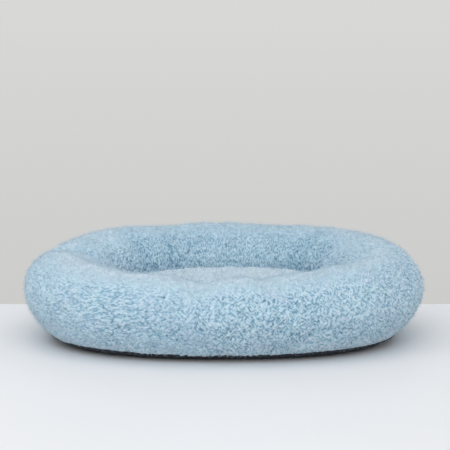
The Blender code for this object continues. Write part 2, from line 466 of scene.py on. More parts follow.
def pile_relief(points, normals, along, curl, vigour):
    """(height of the pile's surface, its painted light and shade) at those points: painted light on
    the raised strands and clumps, painted shade in the partings.
    """
    lie, beside = lie_of_pile(points, normals, along, curl)
    bend = noise(points, bend_size, 65) * (straight_bend + curly_bend * curl)
    strands = np.zeros(len(points))
    for s in np.linspace(-strand_reach / 2, strand_reach / 2, strand_samples):
        traced = points + lie * s + beside * (bend * s * s)[:, None]
        strands += noise(traced, strand_step, 71)
    strands = np.tanh(strands / strand_samples / strand_spread)
    cells = np.abs(noise(warped(points, *clump_warp), clump_size, 31)) * clump_gain
    clumps = 1 - (1 - np.clip(cells, 0, 1)) ** 2
    crossing = noise(warped(points, *parting_warp), parting_size, 84) / parting_width
    patches = steep(noise(points, parting_patch_size, 87), *parting_patch_span)
    partings = np.exp(-crossing * crossing) * patches
    height = strand_height * strands * (0.4 + 0.6 * clumps)
    height = vigour * (height + clump_height * (clumps - clump_middle) - parting_depth * partings)
    height += swell_height * noise(points, swell_size, 51)
    light = strand_light * strands + clump_light * (clumps - clump_middle) - parting_shade * partings
    return height, mean_light + vigour * light


def fibre_quads():
    """One fibre's quads, and for their corners the shares of its turn and of its length."""
    quads = grid_quads(fibre_steps + 1, fibre_sides, wrap_rows=True)
    step, side = np.divmod(quads, fibre_sides)
    last = np.arange(len(quads)) % fibre_sides == fibre_sides - 1
    side = np.where(last[:, None] & (side == 0), fibre_sides, side)
    return quads, np.stack([side / fibre_sides, step / fibre_steps], -1)


def fibre_tubes(roots, normals, lie, beside, light, vigour, room, random):
    """Short tapered fibres: (points, painted light at each point, shaded at the root and lit towards
    the tip, varied a little at random).
    """
    count = len(roots)
    liveliness = np.clip(vigour, 0, 1)
    spread = random.normal(size=count) * fibre_heading_spread
    heading = lie * np.cos(spread)[:, None] + beside * np.sin(spread)[:, None]
    aside = np.cross(normals, heading)
    length = fibre_length * (calm_fibre_share - (calm_fibre_share - 1) * liveliness)
    length = length * random.uniform(*fibre_length_shares, count)
    stray = random.random(count) < stray_share
    stray_lengths = stray_length * random.uniform(*stray_length_shares, count)
    length = room * np.where(stray, stray_lengths, length)
    rise = np.where(stray, stray_rise, fibre_rise - fibre_rise_fall * liveliness)[:, None]
    droop = (rise + fibre_droop_past_level) * np.where(stray, stray_droop_share, 1)[:, None]
    lean = rise - droop * np.linspace(0, 1, fibre_steps + 1)[None]
    lean = lean + random.normal(size=(count, 1)) * fibre_lean_spread
    veer = random.normal(size=(count, 1)) * np.linspace(0, fibre_veer, fibre_steps + 1)[None]
    forward = (np.cos(lean) * np.cos(veer))[..., None] * heading[:, None]
    forward = forward + (np.cos(lean) * np.sin(veer))[..., None] * aside[:, None]
    forward = forward + np.sin(lean)[..., None] * normals[:, None]
    moves = (forward[:, 1:] + forward[:, :-1]) / 2 * (length / fibre_steps)[:, None, None]
    line = roots[:, None] + np.concatenate([np.zeros((count, 1, 3)), np.cumsum(moves, 1)], 1)
    side = unit(np.cross(normals[:, None] + 0 * forward, forward))
    up = np.cross(forward, side)
    width = fibre_width / 2 * np.array(fibre_taper_shares)
    width = width * np.where(stray, stray_width_share, 1)[:, None]
    around = np.arange(fibre_sides) / fibre_sides * full_turn
    spokes = side[:, :, None] * np.cos(around)[None, None, :, None]
    spokes = spokes + up[:, :, None] * np.sin(around)[None, None, :, None]
    points = line[:, :, None] + spokes * width[..., None, None]
    tips = np.repeat(np.linspace(*fibre_tip_lights, fibre_steps + 1), fibre_sides)
    shine = light + random.normal(size=count) * fibre_light_spread * vigour
    return points.reshape(-1, 3), np.repeat(shine, fibre_points) * np.tile(tips, count)


def fibre_cells(count):
    """Where each fibre's corners lie on the texture: each has a small cell of its own."""
    _, shares = fibre_quads()
    down = max(1, math.ceil(math.sqrt(count / (1 - map_share))))
    across = math.ceil(count / down)
    column, row = np.divmod(np.arange(count), down)
    inset = map_margin_share + (1 - 2 * map_margin_share) * shares
    u = map_share + (1 - map_share) * (column[:, None, None] + inset[None, ..., 0]) / across
    v = (row[:, None, None] + inset[None, ..., 1]) / down
    return np.stack([u, v], -1).reshape(-1, 2)


def store(piece, name, values):
    """Keeps a number or a vector for each vertex in the mesh."""
    kind, field = ("FLOAT", "value") if values.ndim == 1 else ("FLOAT_VECTOR", "vector")
    attribute = piece.data.attributes.new(f"pile_{name}", kind, "POINT")
    attribute.data.foreach_set(field, values.astype(np.float32).ravel())


def pile_piece(name, coat, columns, material, random):
    """One piece of fleece: some columns of a coat of pile, with fibres sown on them."""
    part = {key: values[columns] for key, values in coat.items()}
    shape = part["height"].shape
    surface = part["points"] + part["normals"] * part["height"][..., None]
    sown = part["area"] * np.clip(calm_sowing - sowing_fall * part["vigour"], least_sowing, 1)
    count = int(sown.sum() * fibres_per_square_metre)
    chance = sown.ravel() / sown.sum()
    flat = {key: values.reshape(-1, *values.shape[2:]) for key, values in part.items()}
    root = random.choice(len(chance), count, p=chance)
    out, along = flat["normals"][root], flat["along"][root]
    lie, beside = lie_of_pile(flat["points"][root], out, along, flat["curl"][root])
    moved = random.uniform(-0.5, 0.5, (2, count, 1)) * grid_step
    roots = surface.reshape(-1, 3)[root] - out * fibre_width + lie * moved[0] + beside * moved[1]
    tubes, glow = fibre_tubes(
        roots, out, lie, beside, *(flat[key][root] for key in ("light", "vigour", "room")), random,
    )
    quads = grid_quads(*shape)
    one, _ = fibre_quads()
    tufts = one[None] + (np.arange(count) * fibre_points)[:, None, None]
    first = len(flat["height"])
    every = np.concatenate([quads, tufts.reshape(-1, 4) + first])
    piece = new_mesh(name, np.concatenate([surface.reshape(-1, 3), tubes]), every, material)
    store(piece, "light", np.clip(np.concatenate([flat["light"], glow]), 0, 1))
    for key in ("vigour", "curl", "place"):
        on_fibres = np.repeat(flat[key][root], fibre_points, 0)
        store(piece, key, np.concatenate([flat[key], on_fibres]))
    across, down = np.divmod(quads, shape[1])
    places = np.stack([across / shape[0] * map_share, down / shape[1]], -1).reshape(-1, 2)
    places = np.concatenate([places, fibre_cells(count)]).astype(np.float32)
    piece.data.uv_layers.new(name="OFBake").data.foreach_set("uv", places.ravel())
    return piece


def with_relief(coat, fade):
    """Adds the height of the pile and its painted light and shade to a coat. fade lowers the height
    towards a seam.
    """
    keys = ("points", "normals", "along", "curl", "vigour")
    flat = [coat[key].reshape(-1, *coat[key].shape[2:]) for key in keys]
    height, light = pile_relief(*flat)
    coat["height"] = height.reshape(fade.shape) * fade
    coat["light"] = light.reshape(fade.shape)
    return coat


def equal_steps(values, lengths, count):
    """Values at count places that divide a line, given its length so far at each value."""
    return np.interp(np.linspace(0, lengths[-1], count), lengths, values)


def lengths_along(points):
    """The length of a line of points up to each of them."""
    return np.concatenate([[0], np.cumsum(np.linalg.norm(np.diff(points, axis=0), axis=1))])


def cell_areas(points):
    """The area that each vertex of a grid stands for."""
    across = np.linalg.norm(np.gradient(points, axis=0), axis=-1)
    return across * np.linalg.norm(np.gradient(points, axis=1), axis=-1)


def lengths_across(points):
    """The length of each column of a grid up to each of its points."""
    return np.cumsum(np.linalg.norm(np.gradient(points, axis=1), axis=-1), axis=1)


def place_on_coat(points):
    """Where each point lies on the cloth as it would be unrolled: round the rim, and across it."""
    around = lengths_along(points[:, points.shape[1] // 3])
    across = lengths_across(points)
    return np.stack([around[:, None] + 0 * across, across, 0 * across], -1)


# The fleece on the rim

stream_place = 0.60
stream_width = 0.11
front_vigour_shares = (
    (0.78, 0.11, 0.20),
    (0.67, 0.06, 0.14),
    (0.50, 0.05, -0.20),
    (0.95, 0.07, 0.16),
)
crest_calm_shares = (
    (0.60, 0.16, 0.10),
    (0.96, 0.09, -0.50),
    (0.25, 0.16, -0.30),
)
crest_light_shares = (
    (0.25, 0.18, -0.10),
    (0.92, 0.10, -0.04),
)
behind_lines = (
    ((0.440, 10), (0.460, 30), (0.490, 58), (0.515, 80), (0.530, 98), (0.560, 103), (0.620, 110)),
    ((0.880, 112), (0.920, 108), (0.940, 100), (0.980, 97), (1.010, 88)),
)
behind_spans = ((0.400, 0.460, 0.610, 0.670), (0.860, 0.900, 0.990, 1.030))
behind_strengths = (1.0, 0.6)
behind_drop = 0.0040
deepest_pile = 0.0036
cleft_pile = 0.0030
cleft_fill = 0.0052
cleft_room = 0.35
inner_light_shares = (
    (0.43, 0.05, 0.08),
)
seam_line_width = 0.0022
seam_line_depth = 0.0004
seam_line_shade = 0.02
overhang = 0.0070
overhang_place = 0.75
overhang_reach = 0.012
overhang_span = 0.09
overhang_end_share = 0.45
stream_straightness = 0.9
low_vigour = 0.12
low_turns = (2.4, 3.6)
wall_vigour = 0.08
wall_vigour_turns = (1.6, 2.3)
crest_calm = 0.66
crest_slopes = (0.66, 1.0)
behind_vigour = 0.35
cleft_room_turns = (2.4, 2.9)
cleft_pile_turns = (2.3, 3.0)
settling_reach = 0.012
settled_share = 0.35
behind_reach = (0.02, 0.05)
behind_shade = 0.03
inner_fold_shade = 0.14
wall_light_turns = (1.5, 2.2)
foot_light = 0.12
foot_light_reach = 0.030
crest_light = 0.01
crest_light_slopes = (0.30, 0.92)
well_shades = ((0.07, 1.9, 3.0), (0.26, 2.75, 3.4))
ridge_light = 0.10
ridge_turn = 1.50
ridge_width = 0.22


def behind_crest(angles, turns):
    """0 to 1: the parts of the two ends that fall away behind the plump front of the rim."""
    share = angles / full_turn
    total = np.zeros(share.shape)
    for line, span, strength in zip(behind_lines, behind_spans, behind_strengths):
        for whole in (share, share + 1):
            places, limits = zip(*line)
            limit = np.radians(np.interp(whole, places, limits))
            ends = steep(whole, span[0], span[1]) * (1 - steep(whole, span[2], span[3]))
            total += strength * ends * steep(turns - limit, -0.08, 0.16)
    return total


def rim_vigour(angles, turns, normals):
    """How strongly the pile curls: most on the front wall and in the well, least on the crest."""
    outer = np.clip(np.cos(turns) * 3, 0, 1)
    low = steep(turns, *low_turns)
    vigour = 1.0 + outer * bump_share(angles, front_vigour_shares) + low_vigour * low
    vigour = vigour + wall_vigour * steep(turns, *wall_vigour_turns)
    calm = crest_calm + bump_share(angles, crest_calm_shares)
    vigour = vigour * (1 - calm * steep(normals[..., 2], *crest_slopes))
    return vigour + behind_vigour * behind_crest(angles, turns)


def rim_grid():
    """(angles, turns, depths) of the rim's grid, with a hem turned in at each seam."""
    fine = np.linspace(0, full_turn, 2001)
    lengths = lengths_along(rim_surface(fine, 0 * fine))
    columns = int(round(lengths[-1] / grid_step / (2 * rim_pieces))) * 2 * rim_pieces
    angles = equal_steps(fine, lengths, columns + 1)[:-1]
    share = np.linspace(0, 1, 401)
    front = np.full(len(share), -quarter_turn)
    turns = outer_seam_turn(front) + (inner_seam_turn(front) - outer_seam_turn(front)) * share
    lengths = lengths_along(rim_surface(front, turns))
    shares = equal_steps(share, lengths, int(round(lengths[-1] / grid_step)) + 1)
    hem = np.linspace(hem_depth, 0, int(round(hem_depth / grid_step)), endpoint=False)
    depths = np.concatenate([hem, 0 * shares, hem[::-1]])
    shares = np.concatenate([0 * hem, shares, 0 * hem + 1])
    first, last = outer_seam_turn(angles)[:, None], inner_seam_turn(angles)[:, None]
    turns = first + (last - first) * shares[None]
    return angles[:, None] + 0 * turns, turns, depths[None]


def overhang_drop(angles, turns, level):
    """How far the fleece hangs down over the base seam, most in the middle of the front."""
    middle = np.exp(-(((angles / full_turn - overhang_place) / overhang_span) ** 4))
    drop = overhang * (overhang_end_share + (1 - overhang_end_share) * middle) * (np.cos(turns) > 0)
    drop *= np.exp(-((level / overhang_reach) ** 2))
    return drop * np.clip(level / base_seam_height, 0, 1)


def rim_light(angles, turns, slope, above_seam):
    """The painted light and shade of the rim's pile from place to place: painted light on part of the
    inner wall and along the ridge, painted light and shade on the crest where it faces up, painted
    bounce light near the outer seam, and painted shade in the inner folds, behind the crest and down
    in the well.
    """
    walls = bump_share(angles, inner_light_shares)
    walls -= inner_fold_shade * bump_share(angles, inner_fold_shares)
    light = walls * steep(turns, *wall_light_turns) - behind_shade * behind_crest(angles, turns)
    light += foot_light * steep(above_seam, foot_light_reach, 0)
    crest = bump_share(angles, crest_light_shares) + crest_light
    light += crest * steep(slope, *crest_light_slopes)
    for shade, first, last in well_shades:
        light -= shade * steep(turns, first, last)
    return light + ridge_light * np.exp(-(((turns - ridge_turn) / ridge_width) ** 2))


def rim_coat():
    """The rim's coat of pile, from the outer seam to the inner one."""
    angles, turns, depths = rim_grid()
    points, normals = rim_skin(angles, turns, pile_sink + depths + 0 * turns)
    points[..., 2] -= overhang_drop(angles, turns, points[..., 2])
    along = unit(np.roll(points, -1, 0) - np.roll(points, 1, 0))
    stream = np.exp(-((turns_away(angles, stream_place) / stream_width) ** 4))
    stream *= stream_straightness * np.clip(np.cos(turns) * 3 + 0.8, 0, 1)
    coat = {
        "points": points, "normals": normals, "along": along, "curl": 1 - stream,
        "vigour": rim_vigour(angles, turns, normals), "area": cell_areas(points) * (depths == 0),
        "place": place_on_coat(points),
        "room": 1 - (1 - cleft_room) * steep(turns, *cleft_room_turns),
    }
    above_seam = lengths_across(points) - hem_depth
    settled = settled_share + (1 - settled_share) * steep(above_seam, 0, settling_reach)
    with_relief(coat, (1 - depths / hem_depth) * settled)
    coat["height"] -= behind_drop * behind_crest(angles, turns) * steep(above_seam, *behind_reach)
    coat["height"] = np.maximum(coat["height"], -deepest_pile)
    coat["height"] += cleft_pile * steep(turns, *cleft_pile_turns) * (depths == 0)
    coat["light"] += rim_light(angles, turns, normals[..., 2], above_seam)
    # A shallow groove along the cross seams at the two ends, with painted shade in it
    seam = np.exp(-((points[..., 1] / seam_line_width) ** 2))
    coat["height"] -= seam_line_depth * seam
    coat["light"] -= seam_line_shade * seam
    return coat


def rim_fleece(material, random):
    """The fleece on the rim, in pieces round the ring, half of them for each cover."""
    coat = rim_coat()
    columns = len(coat["height"])
    span = columns // rim_pieces
    for k in range(rim_pieces):
        half = "rear" if k < rim_pieces // 2 else "front"
        number = k % (rim_pieces // 2) + 1
        take = np.arange(k * span, (k + 1) * span + 1) % columns
        piece = pile_piece(f"rim_fleece_{half}_{number}", coat, take, material, random)
        belongs(piece, "bed", "fleece", f"rim_cover_{half}")


# The cushion

cushion_curl = 0.9
cushion_vigour = 1.1
cushion_top_calm = 0.10
cushion_seam_reach = 0.006
cleft_fill_reach = 0.020
cushion_top_light = 0.20
cushion_right_shade = 0.06
cushion_edge_shade = 0.20
pucker_spacing = 0.011
pucker_height = 0.0009
pucker_drift = ((0.05, 41, 5), (0.02, 44, 2.5))
backing_step = 0.0016
slack_size = 0.035
slack_height = 0.0008
edge_lap = 0.0001
filling_step = 0.0020
filling_lap = 0.0004
fibre_lumps = ((0.028, 21, 0.6), (0.009, 22, 0.35), (0.003, 23, 0.15))
mean_lump = 0.55
deepest_lump = 1.2
cushion_lump_depth = 0.0022


def cushion_dent(points):
    depth = np.zeros(points.shape[:-1])
    for x_share, y_share, radius_share, share in cushion_dent_shares:
        across = (points[..., 0] - well_middle[0]) / well_half_length - x_share
        along = (points[..., 1] - well_middle[1]) / well_half_depth - y_share
        away = np.hypot(across, along * well_half_depth / well_half_length)
        depth += share * np.exp(-((away / radius_share) ** 2))
    return depth * cushion_dent_depth


def cushion_surface(angle, reach, extreme, roundness, side_depth, dented):
    """Points of the cushion's skin: reach 0 is its middle, and 1 its seam."""
    rise = (1 - reach ** roundness) ** (1 / cushion_edge_roundness)
    half_length = well_half_length - cushion_clearance - side_depth
    half_depth = well_half_depth - cushion_clearance - side_depth
    points = well_middle + oval(half_length, half_depth, well_squareness, angle) * reach[..., None]
    points[..., 2] = cushion_seam_height + (extreme - cushion_seam_height) * rise
    if dented:
        points[..., 2] -= cushion_dent(points) * rise
    return points


def cushion_grid(step):
    """A grid over the cushion, with its rows drawn closer together towards the seam."""
    columns = int(round(2 * well_half_length / step))
    rows = int(round(2 * well_half_depth / step))
    angle, reach = round_grid(columns, rows)
    return angle, np.sin(reach * quarter_turn) ** 0.8


def grid_out(points):
    """Unit normals of a grid, which point up in its middle."""
    out = unit(np.cross(np.gradient(points, axis=0), np.gradient(points, axis=1)))
    return out * np.sign(out[len(out) // 2, out.shape[1] // 2, 2])


def cushion_fleece(material, random):
    """The cushion's crowned top, in two pieces of pile."""
    angle, reach = cushion_grid(grid_step)
    points = cushion_surface(angle, reach, cushion_crown_height, cushion_top_roundness, 0, True)
    normals = grid_out(points)
    near_seam = steep(points[..., 2] - cushion_seam_height, 0, cushion_seam_reach)
    points = points - normals * pile_sink * near_seam[..., None]
    east = np.array([1.0, 0, 0])
    along = unit(east - normals * normals[..., :1])
    top = steep(normals[..., 2], 0.2, 0.9)
    coat = {
        "points": points, "normals": normals, "along": along,
        "curl": cushion_curl + 0 * reach, "vigour": cushion_vigour - cushion_top_calm * top,
        "area": cell_areas(points), "place": points, "room": cleft_room + (1 - cleft_room) * top,
    }
    with_relief(coat, near_seam)
    above_seam = points[..., 2] - cushion_seam_height
    coat["height"] += cleft_fill * (1 - top) * steep(above_seam, 0, cleft_fill_reach)
    # Painted light on the cushion's top where it faces up, more on the left than the right, and
    # painted shade near its seam
    side = (points[..., 0] - well_middle[0]) / well_half_length
    coat["light"] += (cushion_top_light - cushion_right_shade * side) * top
    coat["light"] -= cushion_edge_shade * steep(reach, 0.75, 1)
    half = len(reach) // 2
    for name, columns in (("left", slice(0, half + 1)), ("right", slice(half, None))):
        piece = pile_piece(f"cushion_fleece_{name}", coat, columns, material, random)
        belongs(piece, "cushion", "fleece", "cushion_top_cover")


def puckers(points, angle, half_length, half_depth):
    """0 to 1 round a gathered seam: soft ridges about pucker_spacing apart, none the same."""
    around = full_turn * math.sqrt((half_length ** 2 + half_depth ** 2) / 2)
    count = round(around / pucker_spacing)
    return 0.5 + 0.5 * np.sin(layered(points, pucker_drift, count * angle))


def cushion_backing(material):
    """The plain panel under the cushion, drawn into small puckers along its seam."""
    angle, reach = cushion_grid(backing_step)
    points = cushion_surface(angle, reach, cushion_floor, cushion_bottom_roundness, 0, False)
    inwards = grid_out(points)
    shape = reach.shape
    flat = points.reshape(-1, 3)
    ridge = puckers(flat, angle.ravel(), well_half_length, well_half_depth).reshape(shape)
    ridge = ridge * steep(reach, 0.80, 0.97) * (1 - 0.7 * steep(reach, 0.985, 1))
    slack = np.clip(noise(flat, slack_size, 46).reshape(shape) + 0.15, 0, 1) * steep(reach, 1, 0.9)
    points = points + inwards * (pucker_height * ridge + slack_height * slack)[..., None]
    depth = backing_thickness * steep(reach, 1, 0.98)[..., None]
    inner = points + inwards * depth
    inner[..., 2] -= 2 * edge_lap * (reach == 1)
    points[..., 2] -= seat_gap / 2 + edge_lap * (reach == 1)
    piece = two_sided("cushion_backing", skin_of(points), skin_of(inner), material)
    belongs(piece, "cushion", "base_cloth", "cushion_bottom_cover")


def lumps(points, depth):
    """How far the surface of loose fibre lies within its smooth form."""
    rough = layered(points.reshape(-1, 3), fibre_lumps, mean_lump)
    return (depth * np.clip(rough, 0, deepest_lump)).reshape(points.shape[:-1])


def cushion_fibre(material):
    """The clump of fibre inside the cushion."""
    angle, reach = cushion_grid(filling_step)
    depth = fleece_thickness + filling_gap
    foot = backing_thickness + pucker_height + seat_gap
    skins = []
    for extreme, roundness, inset, dented in (
        (cushion_crown_height - depth, cushion_top_roundness, depth, True),
        (cushion_floor + foot, cushion_bottom_roundness, depth, False),
    ):
        points = cushion_surface(angle, reach, extreme, roundness, inset, dented)
        out = grid_out(points) * (1 if dented else -1)
        points = points - out * (lumps(points, cushion_lump_depth) * steep(reach, 1, 0.9))[..., None]
        points[..., 2] += (filling_lap if dented else -filling_lap) * (reach == 1)
        skins.append(skin_of(points))
    piece = two_sided("cushion_fibre", *skins, material)
    belongs(piece, "cushion", "fibre_filling", "cushion_filling")


# The cloths and layers of the bed

rim_lump_depth = 0.0030
ring_foot_share = 0.15
layer_gap = 0.0001
gather_depth = 0.00035
wrinkle_depth = 0.0004
wrinkle_size = 0.045
lining_underside_share = 0.6


def rim_fibre(material):
    """The ring of loose fibre inside the covers."""
    count = 420
    angles = np.arange(count) / count * full_turn
    share = np.linspace(0, 1, 120)[None]
    first, last = outer_seam_turn(angles)[:, None], inner_seam_turn(angles)[:, None]
    turns = first + (last - first) * share
    spread = angles[:, None] + 0 * turns
    depth = fleece_thickness + filling_gap
    points, out = rim_skin(spread, turns, depth + 0 * turns)
    points -= out * (lumps(points, rim_lump_depth) * np.sin(share * math.pi) ** 0.3)[..., None]
    keel = rim_surface(angles, np.full(count, -quarter_turn))
    inner, outer = points[:, -1], points[:, 0]
    rows = [points[:, k] for k in range(points.shape[1])]
    for foot in (inner, keel, outer * ring_foot_share + keel * (1 - ring_foot_share)):
        low = foot.copy()
        low[:, 2] = wadding_low.z
        rows.append(low)
    grid = np.stack(rows, 1)
    quads = grid_quads(*grid.shape[:2], wrap_columns=True, wrap_rows=True)
    piece = new_body("rim_fibre", grid.reshape(-1, 3), quads, material)
    belongs(piece, "bed", "fibre_filling", "rim_filling")


def under_cloth(material):
    """The dark cloth under the bed: flat, then drawn up in puckers to the fleece's seam."""
    columns, rows = 190, 150
    angle, reach = round_grid(columns, rows)
    keel = rim_surface(angle, np.full_like(angle, -quarter_turn))
    flat_grid = keel * reach[..., None]
    flat_grid[..., 2] = 0
    edge = ring_of(angle)
    seam = outer_seam_turn(edge)
    outer_rings, inner_rings = [], []
    steps = 14
    for k in range(1, steps + 1):
        share = k / steps
        turn = -quarter_turn + (seam + quarter_turn) * share
        points, out = rim_skin(edge, turn, 0 * edge)
        ridge = puckers(points, edge, base_high.x, base_high.y)
        drawn = pucker_height * ridge * share * (1.3 - 0.6 * share)
        points = points - out * drawn[:, None]
        points[:, 2] = np.maximum(points[:, 2] - (seat_gap if k == steps else 0), layer_gap)
        outer_rings.append(points)
        within = points - out * base_cloth_thickness
        within[:, 2] = np.maximum(within[:, 2], base_cloth_thickness)
        inner_rings.append(within)
    raised = flat_grid + np.array([0, 0, base_cloth_thickness])
    outer_skin, inner_skin = skin_of(flat_grid, outer_rings), skin_of(raised, inner_rings)
    piece = two_sided("under_cloth", outer_skin, inner_skin, material)
    belongs(piece, "bed", "base_cloth", "base_cloth")


def well_floor(angle, reach):
    """Points over the floor of the well, out to the rim's inner seam."""
    edge, _ = rim_skin(angle, inner_seam_turn(angle), np.full_like(angle, fleece_thickness))
    return well_middle + (edge - well_middle) * reach[..., None]


def lining_sink(points, angle, reach):
    """How far the lining lies under its highest level, between its few soft wrinkles."""
    flat = points.reshape(-1, 3)
    gathers = puckers(flat, angle.ravel(), well_half_length, well_half_depth).reshape(reach.shape)
    slack = np.abs(noise(flat, wrinkle_size, 48)).reshape(reach.shape)
    gathered = gather_depth * gathers * steep(reach, 0.82, 1)
    return gathered + wrinkle_depth * np.clip(1 - 3 * slack, 0, 1)


def floor_layers(lining_material, wadding_material):
    """The lining in the floor of the well, and the pad of wadding under it."""
    angle, reach = round_grid(200, 140)
    points = well_floor(angle, reach)
    points[..., 2] = 0
    sink = lining_sink(points, angle, reach)
    levels = (
        lining_high.z - sink,
        lining_low.z - sink * lining_underside_share,
        wadding_high.z - sink * lining_underside_share - layer_gap,
        wadding_low.z,
    )
    skins = []
    for level in levels:
        layer = points.copy()
        layer[..., 2] = level
        skins.append(skin_of(layer))
    lining = two_sided("well_lining", skins[0], skins[1], lining_material)
    belongs(lining, "bed", "lining", "floor_lining")
    wadding = two_sided("well_wadding", skins[2], skins[3], wadding_material)
    belongs(wadding, "bed", "fibre_filling", "floor_wadding")


# Materials

def shader_of(material):
    return material.node_tree.nodes["Principled BSDF"]


def new_material(name, roughness):
    material = bpy.data.materials.new(name)
    material.use_nodes = True
    shader_of(material).inputs["Roughness"].default_value = roughness
    return material


def add_node(owner, kind, **values):
    """A new node of a material or the world, with its properties or inputs set by name."""
    node = owner.node_tree.nodes.new(kind)
    for key, value in values.items():
        if hasattr(node, key):
            setattr(node, key, value)
        else:
            node.inputs[key.replace("_", " ").title()].default_value = value
    return node


def join(owner, start, end):
    owner.node_tree.links.new(start, end)


def ramp_node(material, source, stops):
    """A colour ramp with the stops (place, red, green, blue)."""
    ramp = add_node(material, "ShaderNodeValToRGB")
    elements = ramp.color_ramp.elements
    while len(elements) < len(stops):
        elements.new(0.5)
    for element, (place, *colour) in zip(elements, stops):
        element.position = place
        element.color = (*colour, 1)
    join(material, source, ramp.inputs["Fac"])
    return ramp.outputs["Color"]


def multiplied(material, first, second):
    mix = add_node(material, "ShaderNodeMix", data_type="RGBA", blend_type="MULTIPLY")
    mix.inputs["Factor"].default_value = 1
    join(material, first, mix.inputs[6])
    join(material, second, mix.inputs[7])
    return mix.outputs[2]


def noise_at(material, place, scale, detail, output="Fac"):
    pattern = add_node(material, "ShaderNodeTexNoise", scale=scale, detail=detail)
    join(material, place, pattern.inputs["Vector"])
    return pattern.outputs[output]


def object_noise(material, scale, detail):
    """A noise pattern fixed to the object, at so many lumps to the metre."""
    place = add_node(material, "ShaderNodeTexCoord").outputs["Object"]
    return noise_at(material, place, scale, detail)


def add_bump(material, height, distance, strength):
    bump = add_node(material, "ShaderNodeBump", distance=distance, strength=strength)
    join(material, height, bump.inputs["Height"])
    join(material, bump.outputs["Normal"], shader_of(material).inputs["Normal"])


def math_node(material, operation, *values):
    node = add_node(material, "ShaderNodeMath", operation=operation)
    for k, value in enumerate(values):
        if isinstance(value, (int, float)):
            node.inputs[k].default_value = value
        else:
            join(material, value, node.inputs[k])
    return node.outputs["Value"]


def stored(material, name, output="Fac"):
    """What the mesh holds under that name at each point."""
    return add_node(material, "ShaderNodeAttribute", attribute_name=name).outputs[output]


def smooth_range(material, value, first, last):
    """0 to 1 as the value goes from first to last, with a smooth start and end."""
    ranged = add_node(
        material, "ShaderNodeMapRange",
        interpolation_type="SMOOTHSTEP", from_min=first, from_max=last,
    )
    join(material, value, ranged.inputs["Value"])
    return ranged.outputs["Result"]


def between(material, share, first, second):
    """The first number where share is 0 and the second where it is 1."""
    mix = add_node(material, "ShaderNodeMix", data_type="FLOAT")
    for number, source in ((0, share), (2, first), (3, second)):
        join(material, source, mix.inputs[number])
    return mix.outputs[0]


crease_shade = 0.48
least_crease_vigour = 0.10
crease_patterns = {
    "stream": ((-0.06, 0.0075, 0.0025), (0.14, 0.0062, 0.0022)),
    "curl": ((0.95, 0.0052, 0.0025), (-0.75, 0.0050, 0.0024)),
}
crease_span = (0.58, 0.36)
crease_bend = 0.005
crease_bend_scale = 70
crease_detail = 1.2
crease_patch_scale = 85
crease_patch_span = (0.44, 0.56)
crease_depth = 0.0010
wave_radians = 20


def creases(material, name):
    """0 to 1: the hollows between strands, which lie one of two ways from patch to patch; the fleece
    material darkens them with painted shade.
    """
    place = stored(material, "pile_place", "Vector")
    bent = add_node(material, "ShaderNodeVectorMath", operation="MULTIPLY_ADD")
    join(material, noise_at(material, place, crease_bend_scale, 1, "Color"), bent.inputs[0])
    bent.inputs[1].default_value = (crease_bend, crease_bend, crease_bend)
    join(material, place, bent.inputs[2])
    ways = []
    for lean, length, width in crease_patterns[name]:
        turned = add_node(material, "ShaderNodeMapping", vector_type="TEXTURE")
        turned.inputs["Rotation"].default_value = (0, 0, lean)
        turned.inputs["Scale"].default_value = (length, width, width)
        join(material, bent.outputs["Vector"], turned.inputs["Vector"])
        ways.append(noise_at(material, turned.outputs["Vector"], 1, crease_detail))
    patch = noise_at(material, place, crease_patch_scale, 1)
    side = smooth_range(material, patch, *crease_patch_span)
    return smooth_range(material, between(material, side, *ways), *crease_span)


def fleece_material():
    """Pale blue pile, coloured from its painted light: painted shade, dark and cool, in the creases
    and painted light at the tips, in patches of faint tint.
    """
    material = new_material("blue_fleece", 0.95)
    shader = shader_of(material)
    shader.inputs["Sheen Weight"].default_value = 1.0
    shader.inputs["Sheen Roughness"].default_value = 0.35
    shader.inputs["Sheen Tint"].default_value = (0.88, 0.94, 1.0, 1.0)
    ways = [creases(material, name) for name in ("stream", "curl")]
    strength = add_node(material, "ShaderNodeMapRange", clamp=False, from_min=least_crease_vigour)
    join(material, stored(material, "pile_vigour"), strength.inputs["Value"])
    power = math_node(material, "MAXIMUM", strength.outputs["Result"], 0.0)
    either = between(material, stored(material, "pile_curl"), *ways)
    crease = math_node(material, "MULTIPLY", either, power)
    # Painted shade in the creases is taken off the pile's stored painted light, and the ramp below
    # turns that into colour
    light = stored(material, "pile_light")
    lit = math_node(material, "MULTIPLY_ADD", crease, -crease_shade, light)
    depth = ramp_node(material, lit, (
        (0.0, 0.115, 0.235, 0.335),
        (0.35, 0.275, 0.445, 0.570),
        (0.75, 0.490, 0.640, 0.735),
        (1.0, 0.645, 0.738, 0.805),
    ))
    tint = ramp_node(material, object_noise(material, 42, 3), (
        (0.38, 0.975, 1.0, 0.99),
        (0.62, 1.0, 0.983, 0.995),
    ))
    join(material, multiplied(material, depth, tint), shader.inputs["Base Color"])
    add_bump(material, math_node(material, "MULTIPLY", crease, -1.0), crease_depth, 0.5)
    return material


